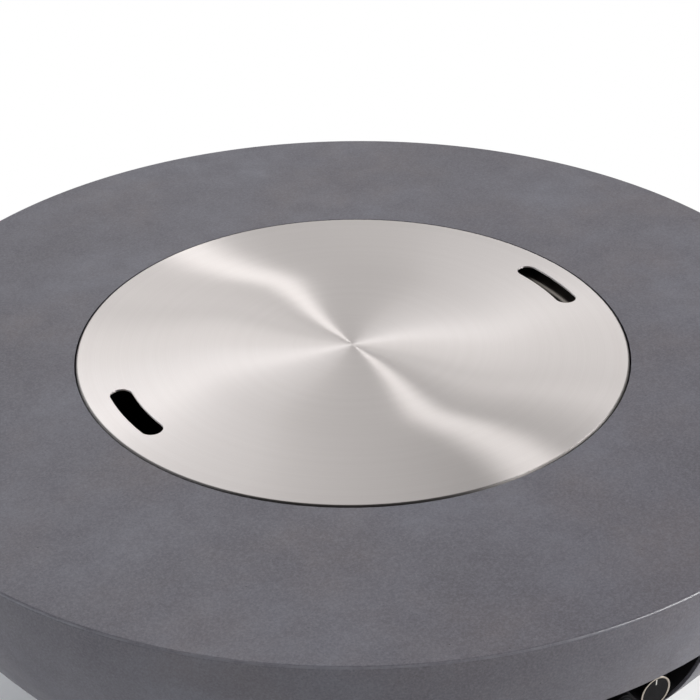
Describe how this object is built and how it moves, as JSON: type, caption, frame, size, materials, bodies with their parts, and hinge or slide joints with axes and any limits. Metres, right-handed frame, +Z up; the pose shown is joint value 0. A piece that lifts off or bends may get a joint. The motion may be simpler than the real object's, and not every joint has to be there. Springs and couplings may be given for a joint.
{
  "type": "gas fire pit",
  "caption": "Round cast-concrete gas fire pit table with a lift-off brushed steel lid over a ring burner and lava rocks, and a push-and-turn valve knob in a side recess.",
  "frame": {"origin": "centre of the round table on the floor under its feet", "axes": "+Z up through the middle of the lid, the control recess faces -Y and the hand slots lie near +X and -X"},
  "size_m": [1.066, 1.0658, 0.431],
  "materials": {
    "concrete": "smooth sealed cast concrete, matte",
    "brushed_stainless": "spun, brushed in rings",
    "pan_stainless": "satin",
    "burner_stainless": "satin, slightly heat tinted",
    "zinc_steel": "zinc plated",
    "base_steel": "galvanised and painted grey",
    "black_steel": "satin black powder coat",
    "valve_brass": "turned",
    "pipe_aluminium": "drawn tube, satin",
    "spring_steel": "drawn wire",
    "black_plastic": "fine matte",
    "button_plastic": "fine matte",
    "ring_chrome": "polished",
    "pointer_white": "satin",
    "white_ceramic": "glazed",
    "lead_rubber": "matte",
    "lead_copper": "drawn copper",
    "gasket_fibre": "felted ceramic fibre",
    "foot_rubber": "matte",
    "lava_rock": "rough, porous"
  },
  "bodies": {
    "table": {"base_plate": "base_steel", "base_screws": "zinc_steel", "bowl": "concrete", "bracket_screws": "zinc_steel", "burner": "burner_stainless", "burner_locknut": "zinc_steel", "burner_pan": "pan_stainless", "burner_pipe": "pipe_aluminium", "burner_spacer": "burner_stainless", "control_tray": "black_steel", "electrode_insulator": "white_ceramic", "electrode_rod": "burner_stainless", "foot_1": "foot_rubber", "foot_2": "foot_rubber", "foot_3": "foot_rubber", "foot_4": "foot_rubber", "foot_5": "foot_rubber", "foot_6": "foot_rubber", "foot_screws": "zinc_steel", "heat_shield": "pan_stainless", "igniter_body": "black_plastic", "igniter_nut": "zinc_steel", "igniter_spring": "spring_steel", "ignition_bracket": "pan_stainless", "ignition_lead": "lead_rubber", "injector": "valve_brass", "injector_holder": "valve_brass", "inlet_fitting": "valve_brass", "inlet_locknut": "zinc_steel", "inlet_pipe": "pipe_aluminium", "lava_rocks": "lava_rock", "lead_clip": "black_plastic", "ledge_gasket": "gasket_fibre", "mixer_tube": "burner_stainless", "pan_screws": "zinc_steel", "pipe_nuts": "valve_brass", "sensor_lead": "lead_copper", "shield_nuts": "zinc_steel", "shield_studs": "zinc_steel", "thermocouple": "burner_stainless", "tray_screws": "zinc_steel", "valve_body": "valve_brass", "valve_cap": "valve_brass", "valve_nut": "zinc_steel"},
    "lid": {"lid": "brushed_stainless"},
    "valve_plug": {"valve_plug": "valve_brass", "stem_spring": "spring_steel"},
    "control_knob": {"control_knob": "black_plastic", "knob_ring": "ring_chrome", "knob_pointer": "pointer_white", "valve_stem": "zinc_steel"},
    "igniter_button": {"igniter_button": "button_plastic"},
    "air_shutter": {"air_shutter": "burner_stainless"}
  },
  "joints": [
    {"name": "lid_lift", "type": "slide", "parent": "table", "child": "lid", "axis": [0, 0, 1], "range_m": [0, 0.25]},
    {"name": "valve_turn", "type": "hinge", "parent": "table", "child": "valve_plug", "pos_m": [0.02, -0.47, 0.291], "axis": [0, -1, 0], "range_deg": [0, 90]},
    {"name": "knob_push", "type": "slide", "parent": "valve_plug", "child": "control_knob", "axis": [0, 1, 0], "range_m": [0, 0.004], "stiffness_N_per_m": 1500, "springref_m": -0.002, "deforming": ["stem_spring"]},
    {"name": "igniter_push", "type": "slide", "parent": "table", "child": "igniter_button", "axis": [0, 1, 0], "range_m": [0, 0.005], "stiffness_N_per_m": 1200, "springref_m": -0.003, "deforming": ["igniter_spring"]},
    {"name": "air_shutter_turn", "type": "hinge", "parent": "table", "child": "air_shutter", "pos_m": [0, 0, 0.252], "axis": [0, 0, 1], "range_deg": [0, 90]}
  ]
}
